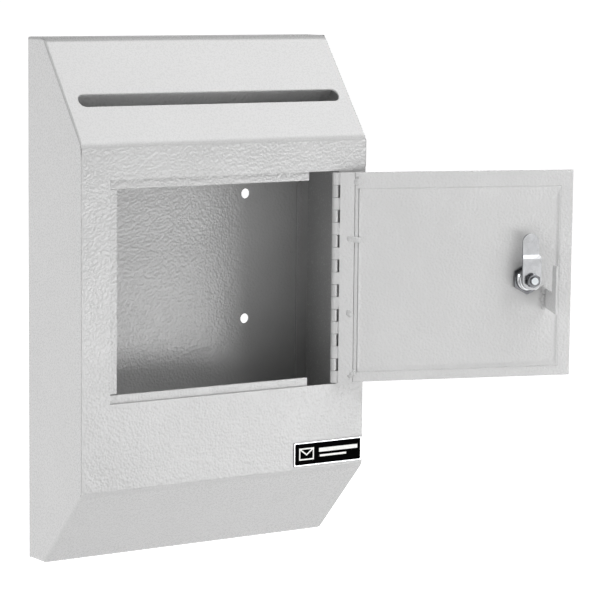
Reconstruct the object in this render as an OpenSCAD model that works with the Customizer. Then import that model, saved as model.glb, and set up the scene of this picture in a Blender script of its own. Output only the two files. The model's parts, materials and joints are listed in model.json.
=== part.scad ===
// Wall-mounted steel donation box with a bevelled deposit slot and a locking collection door.
// Millimetres. X runs to the right along the wall, Y points into the wall, Z is up.
// The origin is the centre of the four wall bolts, on the back face of the box.

/* [Box] */
// Overall height of the box
box_h = 406; // [380:1:440]
// Overall width of the box
box_w = 258; // [240:1:280]
// Depth from the wall to the front panel
box_d = 84; // [78:1:96]
// Depth of the flat strips at the top and the bottom
flat_d = 25; // [18:1:32]
// Height of the sloping panel above the front panel
top_bevel_h = 78; // [70:1:86]
// Height of the sloping panel below the front panel
bottom_bevel_h = 62; // [50:1:74]
// Thickness of the box's steel sheet
sheet_t = 2; // [1.8:0.1:2.2]

/* [Wall bolts] */
// Spacing of the wall bolts across the box
bolt_span_x = 136; // [120:1:150]
// Spacing of the wall bolts up the box
bolt_span_z = 102; // [90:1:114]
// Radius of a wall bolt hole
bolt_hole_r = 4; // [3:0.5:5]
// Height of the top of the box above the centre of the wall bolts
top_above_bolts = 179; // [170:1:188]

/* [Deposit slot] */
// Length of the deposit slot
slot_l = 236; // [200:1:238]
// Width of the deposit slot
slot_w = 11; // [8:0.5:13]
// Distance down the slope from the top bend to the middle of the slot
slot_down = 58; // [50:1:66]
// Slope of the deflector behind the slot, from the vertical
deflector_lean = 35; // [30:1:40]
// Distance of the deflector behind the middle of the slot
deflector_gap = 25; // [20:1:30]

/* [Collection door] */
// Width of the opening that the door closes
opening_w = 208; // [200:1:209]
// Height of the opening that the door closes
opening_h = 170; // [166:1:172]
// Height of the opening's top edge above the centre of the wall bolts
opening_top = 74; // [72:1:78]
// Thickness of the door's steel sheet
door_t = 1; // [0.8:0.1:1]
// Width of the folded hem along the door's free edge
hem_w = 11; // [8:0.5:13]
// Width of the folded hem along the door's top
hem_top_w = 13; // [10:0.5:15]
// Width of the folded hem along the door's bottom
hem_bottom_w = 8; // [7:0.5:11]
// Width of the folded hem under the hinge
hinge_hem_w = 15; // [14:0.5:18]
// Gap between the door and the opening at its top and bottom
door_gap = 1; // [0.8:0.1:1.5]
// Gap between the door's free edge and the opening
door_side_gap = 2.5; // [1:0.1:3]
// How far the door stands open as drawn, from closed
door_open = 162.5; // [0:0.5:180]

/* [Hinge] */
// Number of knuckles along the hinge
knuckles = 17; // [13:2:21]
// Outer radius of a knuckle
knuckle_r = 2.6; // [2.4:0.1:2.7]
// Radius of the hinge pin
pin_r = 1.2; // [1:0.1:1.4]
// Thickness of the hinge leaves
leaf_t = 1; // [0.8:0.1:1]
// Width of a hinge leaf from the pin
leaf_w = 15; // [13:0.5:17]

/* [Lock] */
// Distance of the lock from the hinge pin
lock_s = 162; // [160:0.5:165]
// Height of the lock below the middle of the door
lock_drop = 4; // [0:0.5:8]
// Reach of the cam from the middle of the lock
cam_reach = 37.5; // [36.5:0.5:39]
// Width of the cam round the lock
cam_w = 16; // [15:0.5:16]
// Width of the cam's tip
cam_tip_w = 14; // [12:0.5:15]
// How far the cam's tip steps towards the door
cam_step = 3.5; // [3:0.5:4]

/* [Nameplate] */
// Width of the nameplate
plate_w = 65; // [50:1:66]
// Height of the nameplate
plate_h = 19; // [15:1:22]

/* [Hidden] */
$fn = 48;

eps = 0.01;
box_top = top_above_bolts;
box_bottom = box_top - box_h;
bevel_top_z = box_top - top_bevel_h;
bevel_bottom_z = box_bottom + bottom_bevel_h;

// The box seen from the side, as [depth in front of the wall, height], from the top back edge
outer_line = [
  [0, box_top], [flat_d, box_top], [box_d, bevel_top_z],
  [box_d, bevel_bottom_z], [flat_d, box_bottom], [0, box_bottom]
];

// Where the inside faces of two neighbouring panels meet, a sheet's thickness in from the bend b
function unit(v) = v / norm(v);
function right_of(v) = [v[1], -v[0]];
function mitre(a, b, c, t) =
  let (n1 = right_of(unit(b - a)), n2 = right_of(unit(c - b)))
  b + (n1 + n2) * t / (1 + n1 * n2);
inner_bends = [for (i = [1:4]) mitre(outer_line[i - 1], outer_line[i], outer_line[i + 1], sheet_t)];
inner_line = concat([[0, box_top - sheet_t]], inner_bends, [[0, box_bottom + sheet_t]]);

// The slope that carries the slot
slope_dir = unit([box_d - flat_d, -top_bevel_h]);
slope_angle = atan2(box_d - flat_d, top_bevel_h);
slot_mid = [flat_d, box_top] + slot_down * slope_dir;

// The opening and the hinge
opening_left = -opening_w / 2;
opening_trim = 1;
opening_right = opening_w / 2 - opening_trim;
opening_bottom = opening_top - opening_h;
pin_inset = 4.5;
pin_x = opening_w / 2 - pin_inset;
pin_proud = 0.4;
pin_y = -box_d - pin_proud;
door_h = opening_h - 2 * door_gap;
door_top = opening_top - door_gap;
door_bottom = door_top - door_h;
door_mid = (door_top + door_bottom) / 2;

// Distances from the pin's plane into the box, when the door is shut
strip_clearance = 0.3;
frame_leaf_y = pin_proud + sheet_t;
hem_y = frame_leaf_y - strip_clearance;
skin_in_y = hem_y - door_t;
skin_out_y = hem_y - 2 * door_t;
door_edge_s = 3.5;
door_w = pin_x - opening_left - door_side_gap;
hem_inside_w = door_w - door_edge_s - hinge_hem_w - hem_w;

// Knuckles
pitch = door_h / knuckles;
knuckle_gap = 0.3;
notch_s = knuckle_r + 0.5;

// Stop strips behind the opening's edges
strip_w = 16;
strip_t = 2;
strip_show = 7;
strip_end_x = 76.5;
strip_joint = 0.8;
strip_low_trim = 0.5;

// Lock, as depths behind the pin's plane
lock_z = door_mid - lock_drop;
lock_head_r = 11.5;
lock_head_t = 3;
barrel_r = 9.5;
barrel_flat = 8.2;
plug_r = 7;
plug_fit = 0.06;
nut_af = 22.2;
nut_t = 4.5;
cam_t = 2;
cam_z = skin_in_y + 11.5;
barrel_end = skin_in_y + 10;
tail_w = 7.5;
tail_fit = 0.1;
cam_bend = 17.7;
cam_jog = 2.5;

// Guard bracket beside the cam
guard_s = 179.2;
guard_h = 24;
guard_t = 1.5;
finger_z = 15.5;
guard_web_top = -cam_w / 2 - 0.7;
guard_web_bottom = -24;
guard_fall = 3;
guard_finger_top = 12;

paint = [0.86, 0.86, 0.85];
zinc = [0.75, 0.76, 0.78];

// ---- placing helpers ----

// A side outline, drawn as [depth, height], made into a slab between two X values
module slab(points, x0, x1) {
  translate([x0, 0, 0])
    rotate([90, 0, 90])
      linear_extrude(height = x1 - x0)
        polygon([for (p = points) [-p[0], p[1]]]);
}

// Door pieces: +X from the pin towards the free edge, -Y towards the inside of the box
module on_door() {
  translate([pin_x, pin_y, 0])
    rotate([0, 0, door_open - 180])
      children();
}

// Lock pieces: +Z from the pin's plane towards the inside of the box, +Y up
module at_lock() {
  on_door()
    translate([lock_s, 0, lock_z])
      rotate([90, 0, 0])
        children();
}

// ---- box ----

module slot_cut() {
  reach = 8;
  translate([0, -slot_mid[0], slot_mid[1]])
    rotate([90 - slope_angle, 0, 0])
      union() {
        for (side = [-1, 1])
          translate([side * (slot_l - slot_w) / 2, 0, 0])
            cylinder(h = 2 * reach, r = slot_w / 2, center = true);
        cube([slot_l - slot_w, slot_w, 2 * reach], center = true);
      }
}

module front_shell() {
  color(paint)
    difference() {
      slab(
        concat(outer_line, [for (i = [5:-1:0]) inner_line[i]]),
        -box_w / 2, box_w / 2
      );
      slot_cut();
      translate([opening_left, -box_d - 5, opening_bottom])
        cube([opening_right - opening_left, 10, opening_h]);
    }
}

lap_w = 10;
lap_top = 60;
lap_bottom = -205;
lap_corner = 6;

// The strip of the side panel that is folded flat against the back panel
module lap_flange() {
  translate([0, -sheet_t, 0])
    rotate([90, 0, 0])
      linear_extrude(height = sheet_t)
        union() {
          translate([0, lap_bottom + lap_corner])
            square([lap_w, lap_top - lap_bottom - 2 * lap_corner]);
          for (z = [lap_bottom, lap_top - lap_corner])
            translate([0, z])
              square([lap_w - lap_corner, lap_corner]);
          for (z = [lap_bottom + lap_corner, lap_top - lap_corner])
            translate([lap_w - lap_corner, z])
              circle(r = lap_corner);
        }
}

module side_panel() {
  slab(inner_line, -box_w / 2, -box_w / 2 + sheet_t);
  translate([-box_w / 2 + sheet_t, 0, 0])
    lap_flange();
}

module left_side_panel() {
  color(paint)
    side_panel();
}

module right_side_panel() {
  color(paint)
    mirror([1, 0, 0])
      side_panel();
}

module back_panel() {
  w = box_w - 2 * sheet_t;
  color(paint)
    difference() {
      translate([-w / 2, -sheet_t, box_bottom + sheet_t])
        cube([w, sheet_t, box_h - 2 * sheet_t]);
      for (x = [-1, 1], z = [-1, 1])
        translate([x * bolt_span_x / 2, 0, z * bolt_span_z / 2])
          rotate([90, 0, 0])
            cylinder(h = 3 * sheet_t, r = bolt_hole_r, center = true);
    }
}

// A plate that leans back from above the slot to the back panel
module deposit_deflector() {
  w = box_w - 2 * sheet_t;
  deflector_t = 1.5;
  room = concat(
    [[sheet_t, inner_line[0][1]], inner_bends[0], inner_bends[1]],
    [[sheet_t, inner_bends[1][1]]]
  );
  color(paint)
    intersection() {
      slab(room, -w / 2, w / 2);
      translate([0, -slot_mid[0] + deflector_gap, slot_mid[1]])
        rotate([deflector_lean, 0, 0])
          translate([-w / 2, 0, -box_h / 4])
            cube([w, deflector_t, box_h / 2]);
    }
}

module strip(x, z, w, h) {
  color(paint)
    translate([x, -box_d + sheet_t, z])
      cube([w, strip_t, h]);
}

strip_left_x = opening_left + strip_show - strip_w;
strip_top_z = opening_top - strip_show;
strip_bottom_z = opening_bottom + strip_show - strip_low_trim;

module stop_strip_top() {
  strip(strip_left_x, strip_top_z, strip_end_x - strip_left_x, strip_w);
}

module stop_strip_left() {
  low = strip_bottom_z + strip_joint;
  strip(strip_left_x, low, strip_w, strip_top_z - low);
}

module stop_strip_bottom() {
  strip(strip_left_x, strip_bottom_z - strip_w, strip_end_x - strip_left_x, strip_w);
}

// ---- hinge ----

// One leaf from its knuckles outwards: +X away from the pin, +Y into the box, first = 0 or 1
module hinge_leaf(leaf_y, first) {
  difference() {
    union() {
      translate([notch_s, leaf_y, door_bottom])
        cube([leaf_w - notch_s, leaf_t, door_h]);
      for (i = [first:2:knuckles - 1])
        translate([0, 0, door_bottom + i * pitch + knuckle_gap / 2])
          linear_extrude(height = pitch - knuckle_gap)
            union() {
              circle(r = knuckle_r);
              polygon([
                [0, knuckle_r - leaf_t], [0, knuckle_r],
                [notch_s + eps, leaf_y + leaf_t], [notch_s + eps, leaf_y]
              ]);
            }
    }
    translate([0, 0, door_bottom - 1])
      cylinder(h = door_h + 2, r = pin_r + 0.06);
  }
}

module hinge_frame_leaf() {
  color(paint)
    translate([pin_x, pin_y, 0])
      hinge_leaf(frame_leaf_y, 1);
}

module hinge_door_leaf() {
  color(paint)
    on_door()
      mirror([0, 1, 0])
        hinge_leaf(hem_y, 0);
}

module hinge_pin() {
  color(zinc)
    translate([pin_x, pin_y, door_bottom + 0.5])
      cylinder(h = door_h - 1, r = pin_r);
}

// ---- door ----

module barrel_outline(grow) {
  intersection() {
    circle(r = barrel_r + grow);
    square([2 * barrel_r + 2, 2 * (barrel_flat + grow)], center = true);
  }
}

// A flat skin with its four edges folded back on themselves
module door_panel() {
  color(paint)
    difference() {
      on_door()
        translate([door_edge_s, -hem_y, door_bottom])
          cube([door_w - door_edge_s, 2 * door_t, door_h]);
      on_door()
        translate([door_edge_s + hinge_hem_w, -hem_y - 1, door_bottom + hem_bottom_w])
          cube([hem_inside_w, 1 + door_t, door_h - hem_bottom_w - hem_top_w]);
      at_lock()
        translate([0, 0, -5])
          linear_extrude(height = 20)
            barrel_outline(0.1);
    }
}

// An L-shaped plate on edge: the web carries the turned cam, the finger backs it
module cam_guard_bracket() {
  color(paint)
    at_lock()
      translate([guard_s - lock_s, 0, skin_in_y])
        rotate([0, -90, 0])
          linear_extrude(height = guard_t, center = true)
            polygon([
              [0, guard_web_bottom], [guard_h, guard_web_bottom - guard_fall],
              [guard_h, guard_finger_top], [finger_z, guard_finger_top],
              [finger_z, guard_web_top - guard_fall / 2], [0, guard_web_top]
            ]);
}

// ---- lock ----

lug_from = 118;
lug_to = 332;
lug_r0 = 7.5;
lug_r1 = 9.3;
lug_t = 1.2;

// Part of a ring between two angles
module ring_sector(r0, r1, a0, a1) {
  steps = 24;
  function arc(r, k) = let (a = a0 + (a1 - a0) * k / steps) [r * cos(a), r * sin(a)];
  polygon(concat(
    [for (k = [0:steps]) arc(r0, k)],
    [for (k = [steps:-1:0]) arc(r1, k)]
  ));
}

module lock_body() {
  rim = 0.8;
  color(zinc)
    at_lock()
      difference() {
        union() {
          translate([0, 0, skin_out_y - lock_head_t])
            rotate_extrude()
              polygon([
                [0, 0], [lock_head_r - rim, 0], [lock_head_r, rim],
                [lock_head_r, lock_head_t], [0, lock_head_t]
              ]);
          translate([0, 0, skin_out_y - 1])
            linear_extrude(height = barrel_end - skin_out_y + 1)
              barrel_outline(0);
          translate([0, 0, barrel_end])
            linear_extrude(height = lug_t)
              intersection() {
                ring_sector(lug_r0, lug_r1, lug_from, lug_to);
                barrel_outline(0);
              }
        }
        translate([0, 0, skin_out_y - lock_head_t - 1])
          cylinder(h = 40, r = plug_r + plug_fit);
      }
}

module lock_nut() {
  color(zinc)
    at_lock()
      translate([0, 0, skin_in_y])
        difference() {
          rotate(30)
            cylinder(h = nut_t, r = nut_af / sqrt(3), $fn = 6);
          translate([0, 0, -1])
            cylinder(h = nut_t + 2, r = barrel_r + 0.1);
        }
}

plug_front = skin_out_y - lock_head_t + 0.3;
tail_end = cam_z + cam_t - 0.1;
washer_t = 0.8;
cam_nut_af = 10;
cam_nut_t = 3.6;
cam_nut_z = cam_z + cam_t + washer_t;
stud_r = 3;
stud_fit = 0.1;
stud_end = cam_nut_z + cam_nut_t + 2.2;
wafer_count = 5;
wafer_pitch = 2;
wafer_t = 0.8;
wafer_w = 5.6;
wafer_h = 12.2;
wafer_first = plug_front + 2;
keyway_w = 1.8;
keyway_h = 8;

module wafer_spots() {
  for (i = [0:wafer_count - 1])
    translate([0, 0, wafer_first + i * wafer_pitch])
      children();
}

module lock_plug() {
  color(zinc)
    at_lock()
      difference() {
        union() {
          translate([0, 0, plug_front])
            cylinder(h = barrel_end - plug_front, r = plug_r);
          translate([-tail_w / 2, -tail_w / 2, barrel_end - 1])
            cube([tail_w, tail_w, tail_end - barrel_end + 1]);
          translate([0, 0, tail_end - 1])
            cylinder(h = stud_end - tail_end + 1, r = stud_r);
        }
        translate([-keyway_w / 2, -keyway_h / 2, plug_front - 1])
          cube([keyway_w, keyway_h, 1 + wafer_first + wafer_count * wafer_pitch - plug_front]);
        wafer_spots()
          translate([0, 0, wafer_t / 2])
            cube([wafer_w + 0.2, 2 * plug_r, wafer_t + 0.2], center = true);
      }
}

// Sprung plates across the keyway that the key lines up
module lock_wafers() {
  color([0.78, 0.65, 0.3])
    at_lock()
      wafer_spots()
        difference() {
          translate([0, 0, wafer_t / 2])
            cube([wafer_w, wafer_h, wafer_t], center = true);
          cube([2.4, 6, 3 * wafer_t], center = true);
        }
}

// A washer whose tab meets the barrel's lug at each end of the quarter turn
module stop_washer() {
  tab_w = 5.5;
  color(zinc)
    at_lock()
      translate([0, 0, barrel_end + 0.1])
        difference() {
          linear_extrude(height = lug_t)
            union() {
              circle(r = lug_r0 - 0.2);
              translate([-tab_w / 2, 0])
                square([tab_w, lug_r1 - 0.4]);
            }
          translate([0, 0, lug_t / 2])
            cube([tail_w + 2 * tail_fit, tail_w + 2 * tail_fit, 2 * lug_t], center = true);
        }
}

// The cam's outline seen along the lock, pointing up as it does when unlocked
module cam_outline() {
  tip_r = cam_tip_w / 2;
  circle(r = cam_w / 2);
  polygon([
    [-cam_w / 2, 0], [cam_w / 2, 0], [cam_w / 2, cam_bend], [tip_r, cam_bend + cam_jog],
    [tip_r, cam_reach - tip_r], [-tip_r, cam_reach - tip_r],
    [-tip_r, cam_bend + cam_jog], [-cam_w / 2, cam_bend]
  ]);
  translate([0, cam_reach - tip_r])
    circle(r = tip_r);
}

module lock_cam() {
  color(zinc)
    at_lock()
      translate([0, 0, cam_z])
        difference() {
          intersection() {
            translate([0, 0, -cam_step - 1])
              linear_extrude(height = cam_step + cam_t + 2)
                cam_outline();
            translate([cam_w, 0, 0])
              rotate([0, -90, 0])
                linear_extrude(height = 2 * cam_w)
                  polygon([
                    [0, -cam_w], [cam_t, -cam_w], [cam_t, cam_bend], [cam_t - cam_step, cam_bend + cam_jog],
                    [cam_t - cam_step, cam_reach + 1], [-cam_step, cam_reach + 1],
                    [-cam_step, cam_bend + cam_jog - 1], [0, cam_bend - 1]
                  ]);
          }
          cube([tail_w + 2 * tail_fit, tail_w + 2 * tail_fit, 3 * cam_t], center = true);
        }
}

// An external-tooth washer under the nut
module tooth_washer() {
  teeth = 12;
  tooth_w = 1.4;
  color(zinc)
    at_lock()
      translate([0, 0, cam_z + cam_t])
        difference() {
          linear_extrude(height = washer_t)
            union() {
              circle(r = 4.6);
              for (i = [0:teeth - 1])
                rotate(i * 360 / teeth)
                  translate([0, -tooth_w / 2])
                    square([5.8, tooth_w]);
            }
          translate([0, 0, -1])
            cylinder(h = 3, r = stud_r + stud_fit);
        }
}

// The nut on the plug's threaded end
module cam_nut() {
  color(zinc)
    at_lock()
      translate([0, 0, cam_nut_z])
        difference() {
          cylinder(h = cam_nut_t, r = cam_nut_af / sqrt(3), $fn = 6);
          translate([0, 0, -1])
            cylinder(h = cam_nut_t + 2, r = stud_r + stud_fit);
        }
}

// ---- nameplate ----

plate_right = box_w / 2 - 1.5;
plate_top = bevel_bottom_z + 24;
plate_t = 0.8;
border_w = 1.1;
field_sunk = 0.2;

// A plate against the front panel, from one depth in front of it to another
module front_plate(shrink, from, to) {
  corner = 1;
  w = plate_w - 2 * shrink;
  h = plate_h - 2 * shrink;
  translate([plate_right - plate_w + shrink, -box_d - from, plate_top - plate_h + shrink])
    rotate([90, 0, 0])
      linear_extrude(height = to - from)
        union() {
          translate([corner, 0])
            square([w - 2 * corner, h]);
          translate([0, corner])
            square([w, h - 2 * corner]);
          for (x = [corner, w - corner], y = [corner, h - corner])
            translate([x, y])
              circle(r = corner);
        }
}

module nameplate() {
  color(zinc)
    difference() {
      front_plate(0, 0, plate_t);
      front_plate(border_w, plate_t / 2, plate_t + 1);
    }
}

module nameplate_field() {
  color([0.05, 0.05, 0.06])
    front_plate(border_w, plate_t / 2, plate_t - field_sunk);
}

front_shell();
left_side_panel();
right_side_panel();
back_panel();
deposit_deflector();
stop_strip_top();
stop_strip_left();
stop_strip_bottom();
hinge_frame_leaf();
hinge_pin();
hinge_door_leaf();
door_panel();
cam_guard_bracket();
lock_body();
lock_nut();
lock_plug();
lock_wafers();
stop_washer();
lock_cam();
tooth_washer();
cam_nut();
nameplate();
nameplate_field();
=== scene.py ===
"""A wall-mounted steel donation box: powder-coated sheet, a piano-hinged door and a cam lock.

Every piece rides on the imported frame. Sheet parts are softened copies of the frame's nodes, with
their edges rounded as bent and painted steel is. Nuts, threads, the toothed washer, weld beads
and the nameplate's pictogram are surfaces worked out with numpy. Everything is in metres.
"""
import json
import math

import bmesh
import bpy
import numpy as np
from mathutils import Matrix, Vector
from mathutils.bvhtree import BVHTree


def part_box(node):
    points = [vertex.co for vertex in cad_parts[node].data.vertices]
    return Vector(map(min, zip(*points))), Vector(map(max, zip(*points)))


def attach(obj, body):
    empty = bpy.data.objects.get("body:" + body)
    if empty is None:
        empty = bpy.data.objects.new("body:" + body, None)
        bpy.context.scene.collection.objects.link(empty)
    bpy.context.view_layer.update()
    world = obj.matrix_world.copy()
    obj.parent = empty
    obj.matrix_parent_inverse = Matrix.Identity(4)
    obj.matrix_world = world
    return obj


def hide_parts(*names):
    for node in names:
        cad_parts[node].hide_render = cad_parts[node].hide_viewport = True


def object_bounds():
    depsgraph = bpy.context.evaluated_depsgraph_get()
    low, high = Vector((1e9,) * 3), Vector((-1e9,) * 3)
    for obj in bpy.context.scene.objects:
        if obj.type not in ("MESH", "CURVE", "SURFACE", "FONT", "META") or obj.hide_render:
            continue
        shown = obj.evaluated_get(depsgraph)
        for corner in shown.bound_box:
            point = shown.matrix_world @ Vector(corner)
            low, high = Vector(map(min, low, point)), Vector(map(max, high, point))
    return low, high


MM = 0.001
TAU = 2 * math.pi

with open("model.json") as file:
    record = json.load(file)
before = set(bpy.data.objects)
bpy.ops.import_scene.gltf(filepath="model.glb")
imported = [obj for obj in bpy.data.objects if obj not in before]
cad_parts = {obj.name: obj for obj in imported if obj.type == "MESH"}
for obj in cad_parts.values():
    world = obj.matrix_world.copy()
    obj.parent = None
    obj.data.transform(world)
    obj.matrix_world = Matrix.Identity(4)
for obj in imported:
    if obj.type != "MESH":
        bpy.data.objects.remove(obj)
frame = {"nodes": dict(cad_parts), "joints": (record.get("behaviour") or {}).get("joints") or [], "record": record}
cad_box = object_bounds()
joints = {joint["name"]: joint for joint in frame["joints"]}
mounts = {mount["name"]: mount for mount in frame["record"]["mounts"]}


# ---------------------------------------------------------------- places taken from the frame

UP = Vector((0, 0, 1))
shell_low, shell_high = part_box("front_shell")
door_low, door_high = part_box("door_panel")
plate_low, plate_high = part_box("nameplate_field")
hinge_at = Vector(joints["door_hinge"]["pos_m"])
lock_at = Vector(joints["lock_turn"]["pos_m"])

# The door's own directions: along it from the hinge, and out of its inner face
along_door = Vector((lock_at.x - hinge_at.x, lock_at.y - hinge_at.y, 0)).normalized()
off_door = along_door.cross(UP)

# Planes through the holes of each part
THROUGH_PIN = ((hinge_at, along_door), (hinge_at, off_door), (hinge_at, Vector((1, 0, 0))))
THROUGH_LOCK = ((lock_at, along_door), (lock_at, UP))

# Door and lock axes: X along the door, Y up, Z out of its inner face, from the hinge pin's plane
DOOR_TURN = Matrix((along_door, UP, off_door)).transposed()
DOOR_AT = Vector((hinge_at.x, hinge_at.y, 0))


def spread(node, origin, direction):
    """The least and greatest distance of a node's points from origin, along a direction."""
    mesh = frame["nodes"][node].data
    points = np.empty(len(mesh.vertices) * 3)
    mesh.vertices.foreach_get("co", points)
    reach = (points.reshape(-1, 3) - np.array(origin)) @ np.array(direction)
    return float(reach.min()), float(reach.max())


# Widths of the door's folded hems, and the radius of the lock's hole in it
HINGE_HEM, FREE_HEM, TOP_HEM, BOTTOM_HEM = 15 * MM, 11 * MM, 13 * MM, 8 * MM
LOCK_HOLE = 9.6 * MM

# The lock's fasteners: widths across flats, radii of the threads, and half across the barrel's
# flats
LOCK_NUT_ACROSS, CAM_NUT_ACROSS = 22.2 * MM, 10 * MM
BARREL_RADIUS, BARREL_FLAT, STUD_RADIUS = 9.45 * MM, 8.3 * MM, 2.95 * MM
NUT_BORE = 3.1 * MM

# How far apart two planes may be and still be taken as one
NEARLY = 0.1 * MM

door_from, door_to = spread("door_panel", hinge_at, along_door)
leaf_edge = spread("hinge_door_leaf", hinge_at, along_door)[1]
door_outer, hem_depth = spread("door_panel", hinge_at, off_door)
door_sheet = (hem_depth - door_outer) / 2
nut_from, nut_to = spread("lock_nut", lock_at, off_door)
cam_nut_from, cam_nut_to = spread("cam_nut", lock_at, off_door)
washer_from, washer_to = spread("tooth_washer", lock_at, off_door)
stud_end = spread("lock_plug", lock_at, off_door)[1]
guard_from = spread("cam_guard_bracket", hinge_at, along_door)[0]
guard_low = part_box("cam_guard_bracket")[0].z


# ---------------------------------------------------------------- mesh helpers


def new_object(name, points, faces):
    """A mesh object from arrays of points and faces."""
    mesh = bpy.data.meshes.new(name)
    mesh.from_pydata(np.asarray(points).tolist(), [], [list(map(int, face)) for face in faces])
    mesh.validate()
    mesh.update()
    made = bpy.data.objects.new(name, mesh)
    bpy.context.scene.collection.objects.link(made)
    return made


def grid_faces(rows, columns, wrap_rows=False, wrap_columns=False):
    """Quads over a grid of points numbered row by row, closed on itself where asked."""
    i = np.arange(rows if wrap_rows else rows - 1)
    j = np.arange(columns if wrap_columns else columns - 1)
    i, j = np.meshgrid(i, j, indexing="ij")
    i2 = (i + 1) % rows
    j2 = (j + 1) % columns
    quads = np.stack([i * columns + j, i * columns + j2, i2 * columns + j2, i2 * columns + j], -1)
    return quads.reshape(-1, 4)


def tidied(made, smooth_angle=35):
    """Merges doubled points, faces every surface outwards and smooths all but the sharp edges."""
    work = bmesh.new()
    work.from_mesh(made.data)
    bmesh.ops.remove_doubles(work, verts=work.verts, dist=1e-7)
    bmesh.ops.recalc_face_normals(work, faces=work.faces)
    work.to_mesh(made.data)
    work.free()
    made.data.shade_smooth()
    made.data.set_sharp_from_angle(angle=math.radians(smooth_angle))
    return made


def placed(made, turn, at):
    """Moves a piece's mesh from its own axes to its place, and leaves the object at the origin."""
    made.data.transform(Matrix.Translation(at) @ turn.to_4x4())
    made.data.update()
    return made


def merged_copy(name, *nodes, cuts=()):
    """One mesh of the nodes' shapes: points merged, touching sheets joined, flat faces whole.

    Each cut is a point and a normal. The planes pass through the holes, so that no flat face
    has a hole in it.
    """
    parts = []
    for node in nodes:
        mesh = frame["nodes"][node].data.copy()
        mesh.materials.clear()
        part = bpy.data.objects.new(node + "_copy", mesh)
        bpy.context.scene.collection.objects.link(part)
        work = bmesh.new()
        work.from_mesh(mesh)
        bmesh.ops.remove_doubles(work, verts=work.verts, dist=1e-6)
        work.to_mesh(mesh)
        work.free()
        parts.append(part)
    made = parts[0]
    for other in parts[1:]:
        join = made.modifiers.new("join", "BOOLEAN")
        join.operation = "UNION"
        join.solver = "EXACT"
        join.object = other
    graph = bpy.context.evaluated_depsgraph_get()
    mesh = bpy.data.meshes.new_from_object(made.evaluated_get(graph))
    for part in parts:
        bpy.data.objects.remove(part)
    work = bmesh.new()
    work.from_mesh(mesh)
    bmesh.ops.remove_doubles(work, verts=work.verts, dist=1e-6)
    bmesh.ops.dissolve_limit(
        work, angle_limit=math.radians(0.6), verts=work.verts, edges=work.edges
    )
    for point, normal in cuts:
        bmesh.ops.bisect_plane(
            work, geom=work.verts[:] + work.edges[:] + work.faces[:], dist=1e-6,
            plane_co=point, plane_no=normal,
        )
    work.to_mesh(mesh)
    work.free()
    mesh.name = name
    made = bpy.data.objects.new(name, mesh)
    bpy.context.scene.collection.objects.link(made)
    return made


def soften(made, width, rule=None, segments=3, sharp=30, clamp=True):
    """Rounds a piece's edges. rule(middle, direction) gives each edge its share of the width.

    Without the clamp short edges do not hold the rest back, and points that the rounding throws
    outside the piece, or deeper into it than half the width, go back to its surface.
    """
    work = bmesh.new()
    work.from_mesh(made.data)
    layer = work.edges.layers.float.new("bevel_weight_edge")
    for edge in work.edges:
        if len(edge.link_faces) != 2 or edge.calc_face_angle(0) < math.radians(sharp):
            continue
        middle = (edge.verts[0].co + edge.verts[1].co) / 2
        direction = (edge.verts[1].co - edge.verts[0].co).normalized()
        edge[layer] = 1.0 if rule is None else rule(middle, direction)
    surface = BVHTree.FromBMesh(work)
    work.to_mesh(made.data)
    work.free()
    bevel = made.modifiers.new("rounded edges", "BEVEL")
    bevel.limit_method = "WEIGHT"
    bevel.width = width
    bevel.segments = segments
    bevel.miter_outer = "MITER_SHARP"
    bevel.use_clamp_overlap = clamp
    graph = bpy.context.evaluated_depsgraph_get()
    rounded = bpy.data.meshes.new_from_object(made.evaluated_get(graph))
    made.modifiers.clear()
    made.data = rounded
    for point in rounded.vertices:
        nearest, normal, _, gap = surface.find_nearest(point.co)
        outside = (point.co - nearest).dot(normal) > 0.01 * MM
        if outside or gap > width / 2:
            point.co = nearest
    made.data.shade_smooth()
    made.data.set_sharp_from_angle(angle=math.radians(50))
    flat = made.modifiers.new("flat faces stay flat", "WEIGHTED_NORMAL")
    flat.keep_sharp = True
    flat.weight = 100
    return made


def bored(made, centre, direction, radius, length):
    """Bores a round hole of a length right through a piece."""
    work = bmesh.new()
    bmesh.ops.create_cone(
        work, cap_ends=True, segments=64, radius1=radius, radius2=radius, depth=length,
        matrix=Matrix.Translation(centre) @ direction.to_track_quat("Z", "Y").to_matrix().to_4x4(),
    )
    mesh = bpy.data.meshes.new("drill")
    work.to_mesh(mesh)
    work.free()
    drill = bpy.data.objects.new("drill", mesh)
    bpy.context.scene.collection.objects.link(drill)
    cut = made.modifiers.new("hole", "BOOLEAN")
    cut.operation = "DIFFERENCE"
    cut.solver = "EXACT"
    cut.object = drill
    graph = bpy.context.evaluated_depsgraph_get()
    holed = bpy.data.meshes.new_from_object(made.evaluated_get(graph))
    made.modifiers.clear()
    made.data = holed
    bpy.data.objects.remove(drill)
    return made


def finish_piece(made, body, material, slot, *nodes):
    """Gives a piece its body and material, hides the frame nodes it stands for; slot is not used."""
    made.data.materials.clear()
    made.data.materials.append(material)
    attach(made, body)
    if nodes:
        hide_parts(*nodes)
    return made


def refinish(material, *nodes):
    """Gives frame nodes that keep their own shape a detailed material."""
    for node in nodes:
        for holder in frame["nodes"][node].material_slots:
            holder.material = material


# ---------------------------------------------------------------- surfaces


def ring_surface(name, a, radius, height, smooth_angle):
    """A closed ring: at each angle a, the profile whose radii and heights the columns give."""
    points = np.stack([
        radius * np.cos(a)[:, None], radius * np.sin(a)[:, None], height
    ], -1).reshape(-1, 3)
    faces = grid_faces(len(a), radius.shape[1], True, True)
    return tidied(new_object(name, points, faces), smooth_angle)


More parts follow.
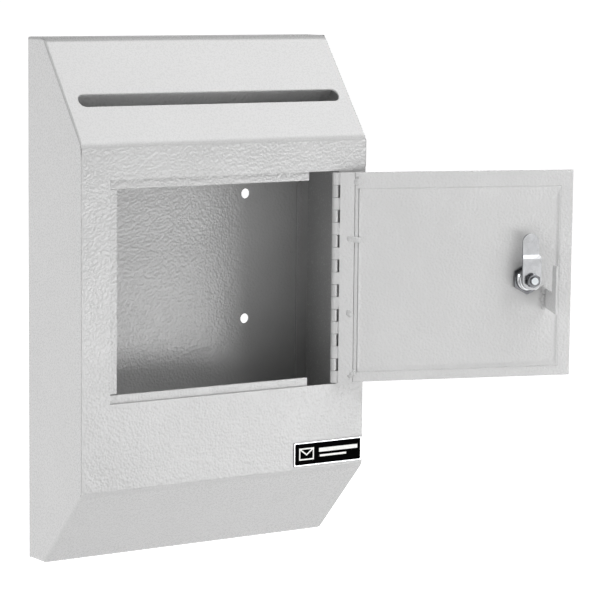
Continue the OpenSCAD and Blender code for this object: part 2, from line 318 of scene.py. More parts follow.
def hex_nut(name, across, bore, low, high):
    """A hexagon nut with both faces chamfered and its corners up and down.

    At angle a the side stands at radius (across / 2) / cos(a folded into one flat), and a cone of
    30 degrees trims each corner: the side ends lower by the radius past the chamfer circle times
    tan 30. The bore has a 45-degree lead at each end.
    """
    a = np.arange(96) * TAU / 96
    folded = (a + TAU / 12) % (TAU / 6) - TAU / 12
    side = (across / 2) / np.cos(folded)
    even = np.ones_like(a)
    ring = 0.96 * across / 2 * even
    drop = np.maximum(side - ring, 0) * math.tan(math.radians(30))
    lead = 0.4 * MM
    inner = bore * even
    radius = np.stack([inner, inner + lead, ring, side, side, ring, inner + lead, inner], -1)
    bottom, top = low * even, high * even
    height = np.stack([
        bottom + lead, bottom, bottom, bottom + drop, top - drop, top, top, top - lead
    ], -1)
    return ring_surface(name, a, radius, height, 20)


def toothed_ring(name, bore, body, tip, low, high, teeth):
    """A sprung washer with external teeth, each twisted out of its plane.

    At angle a the rim's radius steps between body and tip as a rounded square wave, and the metal
    past the body is lifted by the sine of the same wave times its distance past the body.
    """
    a = np.arange(teeth * 20) * TAU / (teeth * 20)
    wave = np.clip(2.4 * np.cos(teeth * a), -1, 1)
    rim = body + (tip - body) * (wave + 1) / 2
    twist = 0.28 * MM * np.sin(teeth * a) * (rim - body) / (tip - body)
    even = np.ones_like(a)
    inner, middle = bore * even, (body - 0.3 * MM) * even
    bottom, top = low * even, high * even
    edge = 0.1 * MM
    radius = np.stack([inner, middle, rim, rim, middle, inner], -1)
    height = np.stack([bottom, bottom, bottom + edge + twist, top - edge + twist, top, top], -1)
    return ring_surface(name, a, radius, height, 30)


def thread(name, radius, low, high, pitch, crest, flat=None):
    """A screw thread: a triangular ridge carried along a helix and faded out at both ends.

    At turn t the ridge's foot is at radius and height low + pitch * t, and its crest stands
    crest further out. Where the barrel has flats, the radius is held to flat / |sin(angle)|.
    """
    turns = (high - low) / pitch - 1
    t = np.linspace(0, turns, int(turns * 40) + 1)
    angle = TAU * t
    fade = np.clip(np.minimum(t, turns - t) * 3, 0.02, 1)
    foot = np.full_like(t, radius)
    tip = radius + crest * fade
    if flat is not None:
        limit = flat / np.maximum(np.abs(np.sin(angle)), 1e-6)
        foot = np.minimum(foot, limit - crest)
        tip = np.minimum(tip, limit)
    middle = low + pitch * (t + 0.5)
    radii = np.stack([foot - 0.2 * MM, foot, tip, foot], -1)
    heights = np.stack([middle, middle - pitch * 0.45, middle, middle + pitch * 0.45], -1)
    points = np.stack([
        radii * np.cos(angle)[:, None], radii * np.sin(angle)[:, None], heights
    ], -1).reshape(-1, 3)
    last = (len(t) - 1) * 4
    faces = list(grid_faces(len(t), 4, False, True))
    faces += [(0, 1, 2, 3), (last + 3, last + 2, last + 1, last)]
    return tidied(new_object(name, points, faces), 25)


def above_sheet(x):
    """Heights on weld metal: what is below the sheet's face keeps a fifth of its depth."""
    return np.where(x < 0, 0.2 * x, x)


def weld_bead(start, end, width, rise, ripple=1.1 * MM):
    """A run of weld between two points: an ellipse carried along the line, rippled and closed.

    Its size follows (1 - x^8)^(1/4) from end to end, each ripple adds up to a sixth as a folded
    sine of the distance, and the run sways to both sides by an eighth of its width.
    """
    start, end = np.array(start), np.array(end)
    length = np.linalg.norm(end - start)
    x = np.linspace(-1, 1, int(length / ripple) * 8 + 9)
    travelled = (x + 1) / 2 * length
    size = np.power(np.clip(1 - x ** 8, 0, 1), 0.25) + 0.001
    size = size * (1 + 0.16 * np.abs(np.sin(math.pi * travelled / ripple)))
    sway = 0.12 * width * np.sin(2.3 * travelled / ripple + 0.7)
    around = np.arange(16) * TAU / 16
    out = np.array([0.0, 0.0, 1.0])
    run = (end - start) / length
    across = np.cross(out, run)
    side = width / 2 * size[:, None] * np.cos(around) + sway[:, None]
    lift = rise * size[:, None] * above_sheet(np.sin(around))
    line = start + travelled[:, None] * run
    points = line[:, None, :] + side[..., None] * across + lift[..., None] * out
    faces = list(grid_faces(len(x), 16, False, True))
    last = (len(x) - 1) * 16
    faces += [tuple(range(16)), tuple(last + 15 - i for i in range(16))]
    return tidied(new_object("bead", points.reshape(-1, 3), faces), 60)


def weld_drop(at, wide, tall, rise, seed):
    """A drop of weld metal: an ellipsoid whose radius swells and dips in slow waves.

    At longitude a and latitude b the unit ellipsoid is scaled by 1 + 0.12 sin(2a + seed)
    cos(b) + 0.07 sin(5a + 3 seed) cos(b) squared.
    """
    a = np.arange(28) * TAU / 28
    b = np.linspace(-math.pi / 2, math.pi / 2, 15)
    a, b = np.meshgrid(a, b, indexing="ij")
    size = 1 + 0.12 * np.sin(2 * a + seed) * np.cos(b)
    size = size + 0.07 * np.sin(5 * a + 3 * seed) * np.cos(b) ** 2
    points = np.stack([
        at[0] + wide / 2 * size * np.cos(a) * np.cos(b),
        at[1] + tall / 2 * size * np.sin(a) * np.cos(b),
        at[2] + rise * size * above_sheet(np.sin(b)),
    ], -1).reshape(-1, 3)
    return tidied(new_object("drop", points, grid_faces(28, 15, True, False)), 60)


def joined(name, pieces):
    """Makes one piece of several."""
    work = bmesh.new()
    for piece in pieces:
        work.from_mesh(piece.data)
        bpy.data.objects.remove(piece)
    mesh = bpy.data.meshes.new(name)
    work.to_mesh(mesh)
    work.free()
    made = bpy.data.objects.new(name, mesh)
    bpy.context.scene.collection.objects.link(made)
    made.data.shade_smooth()
    made.data.set_sharp_from_angle(angle=math.radians(60))
    return made


# ---------------------------------------------------------------- materials


def linear(hex_colour):
    """An sRGB hex colour as the linear RGBA that a shader takes."""
    parts = [int(hex_colour[i : i + 2], 16) / 255 for i in (1, 3, 5)]
    return [p / 12.92 if p <= 0.04045 else ((p + 0.055) / 1.055) ** 2.4 for p in parts] + [1.0]


def add(tree, kind, settings=None, values=None, links=None):
    """Adds a node of a kind, with its settings, its own sockets' values and what feeds them."""
    made = tree.nodes.new(kind)
    for key, value in (settings or {}).items():
        setattr(made, key, value)
    for key, value in (values or {}).items():
        made.inputs[key].default_value = value
    for key, source in (links or {}).items():
        tree.links.new(source, made.inputs[key])
    return made


def blank_material(name):
    """A material with only its output, and its Object coordinates."""
    material = bpy.data.materials.new(name)
    material.use_nodes = True
    tree = material.node_tree
    tree.nodes.clear()
    output = add(tree, "ShaderNodeOutputMaterial")
    place = add(tree, "ShaderNodeTexCoord").outputs["Object"]
    return material, tree, output, place


def per_metre(size_mm):
    """A texture's scale for features of a size in millimetres."""
    return 1 / (size_mm * MM)


def shades(tree, factor, dark, light, low=0.3, high=0.7):
    """Two colours mixed by a factor, from low to high."""
    ramp = add(tree, "ShaderNodeValToRGB", links={"Fac": factor})
    ramp.color_ramp.elements[0].position = low
    ramp.color_ramp.elements[0].color = linear(dark)
    ramp.color_ramp.elements[1].position = high
    ramp.color_ramp.elements[1].color = linear(light)
    return ramp.outputs["Color"]


def between(tree, factor, least, most):
    """A number that runs from least to most as a noise runs over its usual range."""
    made = add(
        tree, "ShaderNodeMapRange",
        values={"From Min": 0.3, "From Max": 0.7, "To Min": least, "To Max": most},
        links={"Value": factor},
    )
    return made.outputs["Result"]


def noise(tree, place, size_mm, detail=2.0, roughness=0.5):
    """Cloudy noise with features of a size in millimetres."""
    made = add(
        tree, "ShaderNodeTexNoise",
        values={"Scale": per_metre(size_mm), "Detail": detail, "Roughness": roughness},
        links={"Vector": place},
    )
    return made.outputs["Fac"]


def bumped(tree, height, depth_mm, strength, under=None):
    """A bump of a depth in millimetres, on top of another one where given."""
    links = {"Height": height}
    if under is not None:
        links["Normal"] = under
    made = add(
        tree, "ShaderNodeBump",
        values={"Strength": strength, "Distance": depth_mm * MM},
        links=links,
    )
    return made.outputs["Normal"]


def hammertone_powder(name, light, dark, roughness, depth, painted_shade=None, dimple_mm=2.0):
    """Polyester powder coat, sprayed and stoved: a semi-gloss skin with an orange-peel surface.

    The eye sees soft round dimples one or two millimetres apart, a finer grain on them, and a
    slow waviness of the light-gauge sheet below. Where painted_shade is given, shade is painted
    into the colour: it fades from the coat's colours at painted_shade[0] above the origin down
    to a dark grey at painted_shade[1].
    """
    material, tree, output, place = blank_material(name)
    tone = noise(tree, place, 45, 3.0, 0.55)
    dimples = add(
        tree, "ShaderNodeTexVoronoi",
        settings={"feature": "SMOOTH_F1"},
        values={"Scale": per_metre(dimple_mm), "Smoothness": 0.7, "Randomness": 1.0},
        links={"Vector": place},
    ).outputs["Distance"]
    grain = noise(tree, place, 1.3)
    wave = noise(tree, place, 70, 1.0)
    sheet = bumped(tree, wave, 1.2, 0.3)
    peel = bumped(tree, dimples, 0.22 * depth, 0.6, sheet)
    skin = bumped(tree, grain, 0.1 * depth, 0.5, peel)
    colour = shades(tree, tone, dark, light)
    if painted_shade is not None:
        # Painted shade: the colour blends into the dark grey from painted_shade[0] down to painted_shade[1]
        parts = add(tree, "ShaderNodeSeparateXYZ", links={"Vector": place})
        lit_share = add(
            tree, "ShaderNodeMapRange",
            values={"From Min": painted_shade[1], "From Max": painted_shade[0], "To Min": 0.0, "To Max": 1.0},
            links={"Value": parts.outputs["Z"]},
        )
        mixed = add(
            tree, "ShaderNodeMix", settings={"data_type": "RGBA"},
            links={"Factor": lit_share.outputs["Result"]},
        )
        mixed.inputs["A"].default_value = linear(PAINTED_SHADE_GREY)
        tree.links.new(colour, mixed.inputs["B"])
        colour = mixed.outputs["Result"]
    paint = add(
        tree, "ShaderNodeBsdfPrincipled",
        values={"Metallic": 0.0, "IOR": 1.5},
        links={
            "Base Color": colour,
            "Roughness": between(tree, grain, roughness - 0.04, roughness + 0.04),
            "Normal": skin,
        },
    )
    tree.links.new(paint.outputs["BSDF"], output.inputs["Surface"])
    return material


def plated_metal(name, light, dark, roughness, grain_mm, grain_depth):
    """Bright plated steel or die-cast zinc: a mirror skin over drawing and tumbling marks."""
    material, tree, output, place = blank_material(name)
    cloud = noise(tree, place, 6, 4.0, 0.6)
    marks = noise(tree, place, grain_mm, 3.0, 0.7)
    metal = add(
        tree, "ShaderNodeBsdfPrincipled",
        values={"Metallic": 1.0},
        links={
            "Base Color": shades(tree, cloud, dark, light, 0.35, 0.65),
            "Roughness": between(tree, marks, roughness * 0.7, roughness * 1.4),
            "Normal": bumped(tree, marks, grain_depth, 0.3),
        },
    )
    tree.links.new(metal.outputs["BSDF"], output.inputs["Surface"])
    return material


def printed_film(name, light, dark, roughness):
    """Screen-printed vinyl: an even, slightly glossy colour with the film's faint mottle."""
    material, tree, output, place = blank_material(name)
    mottle = noise(tree, place, 1.5, 3.0)
    film = add(
        tree, "ShaderNodeBsdfPrincipled",
        values={"IOR": 1.5, "Specular IOR Level": 0.0},
        links={
            "Base Color": shades(tree, mottle, dark, light),
            "Roughness": between(tree, mottle, roughness * 0.85, roughness * 1.15),
            "Normal": bumped(tree, mottle, 0.02, 0.3),
        },
    )
    tree.links.new(film.outputs["BSDF"], output.inputs["Surface"])
    return material


# One light grey powder, laid on differently: full on the front and the back, and smooth where the
# bevels and sides were ground. Three copies paint light and shade into it: the door's is lighter,
# the sides' inner faces' darker, and the deflector's runs from near white to a dark grey.
# The dark grey into which the deflector's painted shade fades, and the heights above the origin between which it
# fades
PAINTED_SHADE_GREY = "#4c4c4c"
slot_top = shell_high.z - 40 * MM
slot_bottom = slot_top - 22 * MM
coat = hammertone_powder("light grey hammertone powder coat", "#b6b6b6", "#b1b1b1", 0.22, 2.0)
# The door's copy of the powder is painted lighter, as painted light on the door
lit_door_coat = hammertone_powder("door coat lightened as painted light", "#bfbfbf", "#bbbbbb", 0.22, 2.0)
ground_coat = hammertone_powder("powder coat on ground faces", "#b9b9b9", "#b7b7b7", 0.28, 0.2)
# The sides' inner faces: the same powder painted darker, as painted shade inside the box
shaded_inner_coat = hammertone_powder("inner side coat darkened as painted shade", "#a4a4a4", "#9f9f9f", 0.25, 1.2)
# The deflector behind the slot: near white at the top as painted light, fading lower down into a dark grey as
# painted shade
deflector_light_and_shade_coat = hammertone_powder(
    "deflector coat with painted light and shade", "#f0f0f0", "#e0e0e0", 0.16, 6.0, (slot_top, slot_bottom),
    dimple_mm=3.2,
)
weld_coat = hammertone_powder("powder coat over weld metal", "#b7b7b7", "#b0b0b0", 0.26, 1.6)
chrome = plated_metal("chrome-plated zinc casting", "#dcdddf", "#cfd0d2", 0.14, 0.8, 0.012)
zinc = plated_metal("bright zinc-plated steel", "#cfd2d4", "#bcc0c4", 0.17, 0.5, 0.02)
cam_zinc = plated_metal("zinc-plated stamping", "#b6b7b9", "#a8a9ab", 0.2, 0.5, 0.03)
dark_zinc = plated_metal("dark zinc-plated steel", "#8a8b8e", "#6d6e71", 0.16, 0.5, 0.02)
spring_steel = plated_metal("oil-blacked spring steel", "#55565a", "#38393c", 0.25, 0.5, 0.02)
brass = plated_metal("stamped brass", "#c8a45a", "#b58f45", 0.28, 0.5, 0.03)
satin_aluminium = plated_metal("satin aluminium", "#d5d6d8", "#c8c9cb", 0.3, 0.3, 0.02)
black_film = printed_film("black printed film", "#070707", "#040404", 0.32)
white_print = printed_film("white screen print", "#efefec", "#e2e2df", 0.4)

PAINT = "grey_powder_coat"
PLATE = "zinc_plate"


# ---------------------------------------------------------------- sheet-metal pieces


def shell_rule(middle, direction):
    """How round each edge of the welded box is, as a share of its side corners' radius.

    The side corners are welded and ground, and the bends across the box pressed over a wide
    tool. The back and the cut edges are nearly sharp, and the slot's edges are deburred.
    """
    at_back = middle.y > -NEARLY
    on_side = abs(abs(middle.x) - shell_high.x) < NEARLY
    at_front = abs(middle.y - shell_low.y) < NEARLY
    at_top = abs(middle.z - shell_high.z) < NEARLY
    at_end = at_top or abs(middle.z - shell_low.z) < NEARLY
    across_box = abs(direction.x) > 0.99
    on_slope = shell_low.y + 2 * MM < middle.y < -30 * MM and middle.z > door_high.z
    if at_back:
        return 0.15
    if on_side:
        return 1.0
    if across_box and at_top:
        return 1.9
    if across_box and (at_end or at_front and not in_opening(middle)):
        return 1.25
    return 0.25 if on_slope else 0.12


def in_opening(middle):
    """Whether a point on the front panel is nearer to the door opening than to a bend."""
    return door_low.z - 4 * MM < middle.z < door_high.z + 4 * MM


def make_box():
    """The bent front, the side panels and the back are one welded, ground and painted box."""
    sheets = ("front_shell", "left_side_panel", "right_side_panel", "back_panel")
    half_span = mounts["wall_bolts"]["dims"]["spacing_x_mm"] / 2 * MM
    through_holes = [(Vector((x, 0, 0)), Vector((1, 0, 0))) for x in (-half_span, 0, half_span)]
    shell = merged_copy("welded_box", *sheets, cuts=through_holes)
    soften(shell, 2.6 * MM, shell_rule, segments=4, sharp=20, clamp=False)
    finish_piece(shell, "box", coat, PAINT, *sheets)
    for extra in (ground_coat, shaded_inner_coat):
        shell.data.materials.append(extra)
    # The sides' inner faces take the darker coat, which is painted shade
    sprayed, ground, painted_shade = 0, 1, 2
    for face in shell.data.polygons:
        slanted = face.normal.y < -0.1 and abs(face.normal.z) > 0.2
        outside = abs(face.center.x) > shell_high.x - NEARLY
        on_inner_side = abs(face.normal.x) > 0.9 and not outside
        inner = painted_shade if on_inner_side else sprayed
        face.material_index = ground if slanted or outside else inner
    # The strips lie behind the front sheet, with the thickness of the paint between them
    paint_gap = Matrix.Translation((0, 0.35 * MM, 0))
    for strip in ("stop_strip_top", "stop_strip_left", "stop_strip_bottom"):
        piece = merged_copy("painted_" + strip, strip)
        piece.data.transform(paint_gap)
        finish_piece(soften(piece, 0.5 * MM), "box", coat, PAINT, strip)
    deflector = soften(merged_copy("painted_deflector", "deposit_deflector"), 0.3 * MM)
    finish_piece(deflector, "box", deflector_light_and_shade_coat, PAINT, "deposit_deflector")
    leaf = merged_copy("painted_frame_leaf", "hinge_frame_leaf", cuts=THROUGH_PIN)
    finish_piece(soften(leaf, 0.15 * MM, sharp=40), "box", coat, PAINT, "hinge_frame_leaf")


def smooth(x):
    """Rises from 0 to 1 as x does, as 3 x^2 - 2 x^3."""
    x = np.clip(x, 0, 1)
    return x * x * (3 - 2 * x)


def hem_height(s, z):
    """Height of the door's inner face above its hem, at s along the door and z up.

    Inside each hem the sheet lies lower by its thickness. It rises again towards the hem's cut
    edge by that side's lift, as 1 - smooth(distance / run), and a groove of a width and depth
    runs along the edge. It is clear at the hinge and mostly filled with paint elsewhere. The
    sides are hinge, free edge, bottom and top. Another groove is where the hinge leaf ends.
    """
    inside = np.stack([
        s - door_from - HINGE_HEM, door_to - FREE_HEM - s,
        z - door_low.z - BOTTOM_HEM, door_high.z - TOP_HEM - z,
    ])
    lift = np.array([0.3, 0.9, 0.95, 0.9])[:, None, None] * MM
    run = np.array([4, 3, 4.5, 10])[:, None, None] * MM
    width = np.array([0.65, 0.1, 0.35, 0.3])[:, None, None] * MM
    depth = np.array([0.3, 0.0, 0.0, 0.0])[:, None, None] * MM
    clear = np.array([1.0, 0.15, 0.35, 0.3])[:, None, None]
    skin = (lift * (1 - smooth(inside / run))).max(0) - door_sheet
    past_edge = smooth((inside + 0.3 * MM) / (0.25 * MM)).min(0)
    past_groove = smooth((inside - width) / (0.3 * MM))
    sunk = (clear * (1 - past_groove) * (depth + skin + door_sheet)).max(0)
    height = past_edge * (skin - sunk)
    from_leaf = np.abs(s - leaf_edge - 0.4 * MM)
    groove = -0.9 * MM * (1 - smooth((from_leaf - 0.25 * MM) / (0.15 * MM)))
    return np.minimum(height, groove)


def hemmed_sheet(name):
    """The door: its height over a grid of s and z, a flat outer face, and the walls between."""
    # Distances from a hem's edge, close together where its groove has to keep its shape
    near = np.array([
        -0.9, -0.3, -0.24, -0.18, -0.11, -0.05, 0.2, 0.45, 0.65, 0.73, 0.8, 0.87, 0.95, 1.3, 1.8,
        2.4, 3, 3.7, 4.6, 6, 8, 11
    ]) * MM
    leaf = leaf_edge + np.array([0, 0.07, 0.15, 0.4, 0.65, 0.73, 0.8]) * MM
    s = np.concatenate([
        np.linspace(door_from, door_to, 24), door_from + HINGE_HEM + near,
        door_to - FREE_HEM - near, leaf,
    ])
    z = np.concatenate([
        np.linspace(door_low.z, door_high.z, 22), door_low.z + BOTTOM_HEM + near,
        door_high.z - TOP_HEM - near,
    ])
    s, z = np.unique(s.round(7)), np.unique(z.round(7))
    s = s[np.append(True, np.diff(s) > 0.02 * MM)]
    z = z[np.append(True, np.diff(z) > 0.02 * MM)]
    rows, columns = len(s), len(z)
    s, z = np.meshgrid(s, z, indexing="ij")
    inner = np.stack([s, z, hem_depth + hem_height(s, z)], -1).reshape(-1, 3)
    outer = np.stack([s, z, np.full_like(s, door_outer)], -1).reshape(-1, 3)
    quads = grid_faces(rows, columns)
    number = np.arange(rows * columns).reshape(rows, columns)
    rim = np.concatenate([number[:-1, 0], number[-1, :-1], number[:0:-1, -1], number[0, :0:-1]])
    after = np.roll(rim, -1)
    walls = np.stack([rim, after, after + len(inner), rim + len(inner)], -1)
    faces = np.concatenate([quads, quads[:, ::-1] + len(inner), walls])
    return tidied(new_object(name, np.concatenate([inner, outer]), faces))


def door_rule(middle, direction):
    """The folded outer edges of the door are round, and the rest keeps its own shape."""
    reach = (middle - hinge_at).dot(along_door)
    at_side = min(abs(reach - door_from), abs(reach - door_to)) < NEARLY
    at_end = min(abs(middle.z - door_low.z), abs(middle.z - door_high.z)) < NEARLY
    return 1.0 if at_side or at_end else 0.0


def make_door():
    """The hemmed door, its hinge leaf and the guard bracket."""
    # The door, its hinge leaf and its bracket take the lighter coat, which is painted light
    door = placed(hemmed_sheet("hemmed_door"), DOOR_TURN, DOOR_AT)
    bored(door, lock_at, off_door, LOCK_HOLE, 60 * MM)
    soften(door, 0.9 * MM, door_rule, segments=4, clamp=False)
    finish_piece(door, "door", lit_door_coat, PAINT, "door_panel")
    leaf = merged_copy("painted_door_leaf", "hinge_door_leaf", cuts=THROUGH_PIN)
    finish_piece(
        soften(leaf, 0.15 * MM, sharp=40), "door", lit_door_coat, PAINT, "hinge_door_leaf"
    )
    bracket = soften(merged_copy("painted_cam_guard", "cam_guard_bracket"), 0.3 * MM)
    finish_piece(bracket, "door", lit_door_coat, PAINT, "cam_guard_bracket")


def make_welds():
    """Weld metal under the paint, in the door's axes: along it, up, and out of its inner face."""
    edge, hem, foot = leaf_edge, hem_depth, nut_from
    leaf_face = hem + 0.8 * MM
    tacks = [
        weld_drop((edge + 2.6 * MM, 66 * MM, hem), 8 * MM, 7 * MM, 1.9 * MM, 0.4),
        weld_drop((edge + 1.4 * MM, 19.3 * MM, hem), 9 * MM, 6 * MM, 1.9 * MM, 1.9),
        weld_drop((edge - 2.2 * MM, 20.2 * MM, leaf_face), 8 * MM, 5 * MM, 1.1 * MM, 2.7),
        weld_drop((edge - 3 * MM, -39.5 * MM, leaf_face), 6 * MM, 6 * MM, 1.0 * MM, 3.1),
        weld_bead(
            (edge - 3 * MM, -91 * MM, leaf_face), (edge + 2.5 * MM, -85 * MM, hem),
            3.6 * MM, 1.2 * MM,
        ),
    ]
    tack_welds = placed(joined("hinge_tack_welds", tacks), DOOR_TURN, DOOR_AT)
    finish_piece(tack_welds, "door", weld_coat, PAINT)
    # A row of drops up the bracket's foot, and spatter beside it
    low = guard_low + 3.5 * MM
    beside = guard_from - 0.6 * MM
    lumps = [
        weld_drop(
            (beside + 0.5 * math.sin(2.2 * i) * MM, low + 3 * i * MM, foot),
            (4.6 + 0.9 * math.sin(1.7 * i)) * MM, (4.4 + 0.6 * math.cos(2.6 * i)) * MM,
            (1.5 + 0.35 * math.cos(1.9 * i)) * MM, 2.3 * i,
        )
        for i in range(6)
    ]
    spatter = [
        weld_drop(
            (guard_from - (2.2 + 1.3 * (i % 3)) * MM, low + (1.5 + 2.6 * i) * MM, foot),
            (1.1 + 0.5 * (i % 2)) * MM, 1.2 * MM, (0.5 + 0.2 * (i % 3)) * MM, 1.7 * i,
        )
        for i in range(6)
    ]
    bracket_weld = placed(joined("guard_weld", lumps + spatter), DOOR_TURN, DOOR_AT)
    finish_piece(bracket_weld, "door", weld_coat, PAINT)


# ---------------------------------------------------------------- lock


def make_lock():
    """The lock's castings and fasteners, each in the lock's own axes until it is placed."""
    body = merged_copy("polished_lock_body", "lock_body", cuts=THROUGH_LOCK)
    soften(body, 0.15 * MM, sharp=40)
    finish_piece(body, "door", chrome, PLATE, "lock_body")
    nut = hex_nut("chamfered_lock_nut", LOCK_NUT_ACROSS, LOCK_HOLE, nut_from, nut_to)
    finish_piece(placed(nut, DOOR_TURN, lock_at), "door", dark_zinc, PLATE, "lock_nut")
    barrel_thread = thread(
        "barrel_thread", BARREL_RADIUS, nut_to, nut_to + 5.4 * MM, 1 * MM, 0.35 * MM, BARREL_FLAT
    )
    finish_piece(placed(barrel_thread, DOOR_TURN, lock_at), "door", chrome, PLATE)
    plug = merged_copy("plug_with_stud", "lock_plug", cuts=THROUGH_LOCK)
    soften(plug, 0.3 * MM, sharp=40)
    finish_piece(plug, "lock_core", zinc, PLATE, "lock_plug")
    stud_thread = thread(
        "stud_thread", STUD_RADIUS, cam_nut_to - 0.6 * MM, stud_end - 0.3 * MM, 0.7 * MM,
        0.14 * MM,
    )
    finish_piece(placed(stud_thread, DOOR_TURN, lock_at), "lock_core", zinc, PLATE)
    cam = merged_copy("stamped_cam", "lock_cam", cuts=THROUGH_LOCK)
    soften(cam, 0.35 * MM, sharp=25)
    finish_piece(cam, "lock_core", cam_zinc, PLATE, "lock_cam")
    small_nut = hex_nut(
        "chamfered_cam_nut", CAM_NUT_ACROSS, NUT_BORE, cam_nut_from, cam_nut_to
    )
    finish_piece(placed(small_nut, DOOR_TURN, lock_at), "lock_core", dark_zinc, PLATE, "cam_nut")
    washer = toothed_ring(
        "twisted_tooth_washer", NUT_BORE, 4.6 * MM, 5.8 * MM, washer_from, washer_to, 12
    )
    finish_piece(
        placed(washer, DOOR_TURN, lock_at), "lock_core", spring_steel, PLATE, "tooth_washer"
    )
    refinish(zinc, "stop_washer", "hinge_pin")
    refinish(brass, "lock_wafers")


# ---------------------------------------------------------------- nameplate


def stroke(points, width):
    """A flat line of a width through points, as the four corners of each of its stretches."""
    quads = []
    for start, end in zip(points[:-1], points[1:]):
        start, end = np.array(start), np.array(end)
        run = (end - start) / np.linalg.norm(end - start)
        side = np.array([-run[1], run[0]]) * width / 2
        reach = run * width / 2
        quads.append(
            [start - side - reach, end - side + reach, end + side + reach, start + side - reach]
        )
    return quads


def make_nameplate():
    """The plate's border and field, and a plain envelope with two bars printed on the field."""
    border = merged_copy("nameplate_border", "nameplate", cuts=[((plate_low + plate_high) / 2, UP)])
    soften(border, 0.25 * MM)
    finish_piece(border, "box", satin_aluminium, "plate_silver", "nameplate")
    # The border's face is bright and its cut edges are black
    border.data.materials.append(black_film)
    for face in border.data.polygons:
        face.material_index = 1 if abs(face.normal.y) < 0.95 else 0
    refinish(black_film, "nameplate_field")
    left, middle = plate_low.x + 4.5 * MM, (plate_high.z + plate_low.z) / 2
    wide, tall = 13 * MM, 8.6 * MM
    envelope = [(0, -tall / 2), (wide, -tall / 2), (wide, tall / 2), (0, tall / 2), (0, -tall / 2)]
    flap = [(0, tall / 2), (wide / 2, -0.6 * MM), (wide, tall / 2)]
    long_bar = [(20 * MM, 2.2 * MM), (54 * MM, 2.2 * MM)]
    short_bar = [(20 * MM, -2.4 * MM), (44 * MM, -2.4 * MM)]
    outline = 1.1 * MM
    quads = stroke(envelope, outline) + stroke(flap, outline)
    quads += stroke(long_bar, 3.2 * MM) + stroke(short_bar, 1.6 * MM)
    points, faces = [], []
    # Each stroke stands a little higher than the last, so that no two share a face
    for layer, quad in enumerate(quads):
        base = len(points)
        for proud in (-0.02 * MM, (0.03 + layer * 0.002) * MM):
            points += [(left + x, plate_low.y - proud, middle + z) for x, z in quad]
        faces += [(base, base + 1, base + 2, base + 3), (base + 7, base + 6, base + 5, base + 4)]
        faces += [
            (base + i, base + 4 + i, base + 4 + (i + 1) % 4, base + (i + 1) % 4) for i in range(4)
        ]
    ink = tidied(new_object("envelope_print", points, faces), 30)
    finish_piece(ink, "box", white_print, "plate_silver")


# ---------------------------------------------------------------- stage, camera and lights


def make_camera():
    """A long lens to the left of the box and a little above it, looking down slightly."""
    azimuth, drop, roll = math.radians(33.66), math.radians(7.24), math.radians(0.59)
    distance = 2.142
    ahead = Vector((
        math.sin(azimuth) * math.cos(drop), math.cos(azimuth) * math.cos(drop), -math.sin(drop)
    ))
    right = Vector((math.cos(azimuth), -math.sin(azimuth), 0))
    above = right.cross(ahead)
    middle = Vector((0, 0, (shell_low.z + shell_high.z) / 2))
    aim = middle + 102.5 * MM * right - 6.8 * MM * above
    rolled_right = right * math.cos(roll) + above * math.sin(roll)
    rolled_above = above * math.cos(roll) - right * math.sin(roll)
    turn = Matrix((rolled_right, rolled_above, -ahead)).transposed()
    data = bpy.data.cameras.new("long lens")
    data.sensor_width = 36
    data.lens = 160.7
    data.clip_end = 200
    camera = bpy.data.objects.new("camera", data)
    camera.matrix_world = Matrix.Translation(aim - distance * ahead) @ turn.to_4x4()
    bpy.context.scene.collection.objects.link(camera)
    bpy.context.scene.camera = camera


def softbox(name, azimuth, height, distance, width, tall, radiance):
    """A rectangular studio light aimed at the box, placed by its direction seen from the box."""
    a, e = math.radians(azimuth), math.radians(height)
    away = Vector((math.sin(a) * math.cos(e), -math.cos(a) * math.cos(e), math.sin(e)))
    data = bpy.data.lights.new(name, "AREA")
    data.shape = "RECTANGLE"
    data.size = width
    data.size_y = tall
    data.energy = radiance * math.pi * width * tall
    light = bpy.data.objects.new(name, data)
    light.location = away * distance
    light.rotation_euler = away.to_track_quat("Z", "Y").to_euler()
    bpy.context.scene.collection.objects.link(light)


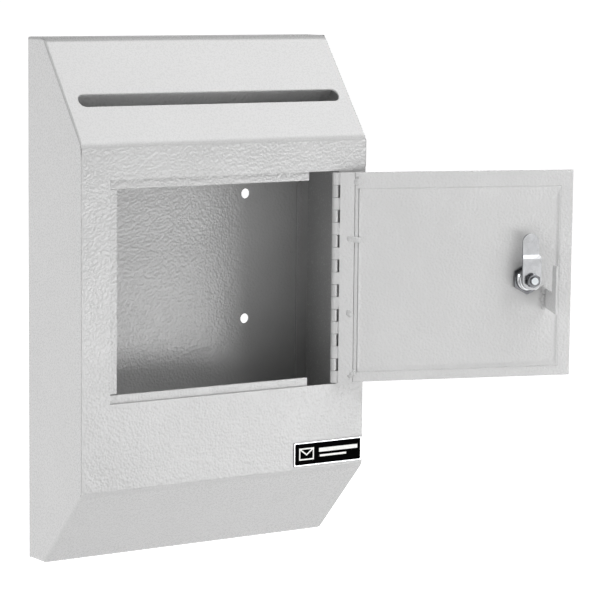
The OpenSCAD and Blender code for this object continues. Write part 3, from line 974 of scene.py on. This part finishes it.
def make_floor():
    """A white acrylic floor, well below the hanging box, that glows as painted light, more strongly towards the
    back.
    """
    low = cad_box[0].z - 0.35
    half = 70.0
    corners = [(-half, -half, low), (half, -half, low), (half, half, low), (-half, half, low)]
    floor = new_object("floor", corners, [(0, 1, 2, 3)])
    material, tree, output, place = blank_material("white floor with painted light")
    parts = add(tree, "ShaderNodeSeparateXYZ", links={"Vector": place})
    # Painted light: the floor's glow rises from 0.25 to 0.95 as Y runs from 0.1 to 1 m
    glow = add(
        tree, "ShaderNodeMapRange",
        settings={"interpolation_type": "SMOOTHSTEP"},
        values={"From Min": 0.1, "From Max": 1.0, "To Min": 0.25, "To Max": 0.95},
        links={"Value": parts.outputs["Y"]},
    )
    acrylic = add(
        tree, "ShaderNodeBsdfPrincipled",
        values={"Roughness": 0.9, "Emission Color": (1, 1, 1, 1), "Specular IOR Level": 0.0},
        links={
            "Base Color": shades(tree, noise(tree, place, 300), "#f2f2f2", "#f6f6f6"),
            "Emission Strength": glow.outputs["Result"],
        },
    )
    tree.links.new(acrylic.outputs["BSDF"], output.inputs["Surface"])
    floor.data.materials.append(material)


def make_room():
    """A white wall all round behind the box, and a dimmer room in front of it."""
    world = bpy.data.worlds.new("studio room")
    world.use_nodes = True
    tree = world.node_tree
    towards = add(tree, "ShaderNodeTexCoord").outputs["Generated"]
    parts = add(tree, "ShaderNodeSeparateXYZ", links={"Vector": towards})
    behind = add(
        tree, "ShaderNodeMapRange",
        settings={"interpolation_type": "SMOOTHSTEP"},
        values={"From Min": -0.35, "From Max": 0.2, "To Min": 0.16, "To Max": 0.6},
        links={"Value": parts.outputs["Y"]},
    )
    low_down = add(
        tree, "ShaderNodeMapRange",
        settings={"interpolation_type": "SMOOTHSTEP"},
        values={"From Min": 0.2, "From Max": 0.7, "To Min": 1.0, "To Max": 0.2},
        links={"Value": parts.outputs["Z"]},
    )
    glow = add(
        tree, "ShaderNodeMath", settings={"operation": "MULTIPLY"},
        links={0: behind.outputs["Result"], 1: low_down.outputs["Result"]},
    )
    tree.links.new(glow.outputs["Value"], tree.nodes["Background"].inputs["Strength"])
    tree.nodes["Background"].inputs["Color"].default_value = (1, 1, 1, 1)
    bpy.context.scene.world = world


make_camera()
make_box()
make_door()
make_welds()
make_lock()
make_nameplate()
make_floor()
make_room()
# Each softbox: azimuth and height in degrees, distance, width and height in metres, radiance
softbox("key softbox", 37, -10.5, 1.8, 1.1, 0.42, 5.6)
softbox("high softbox", 46, 52, 2.6, 2.0, 1.75, 5.0)
softbox("front softbox", 4, 2, 1.8, 1.4, 1.5, 0.76)
softbox("left fill", -84, 8, 2.2, 1.6, 2.0, 3.05)
bpy.context.scene.view_settings.view_transform = "Standard"
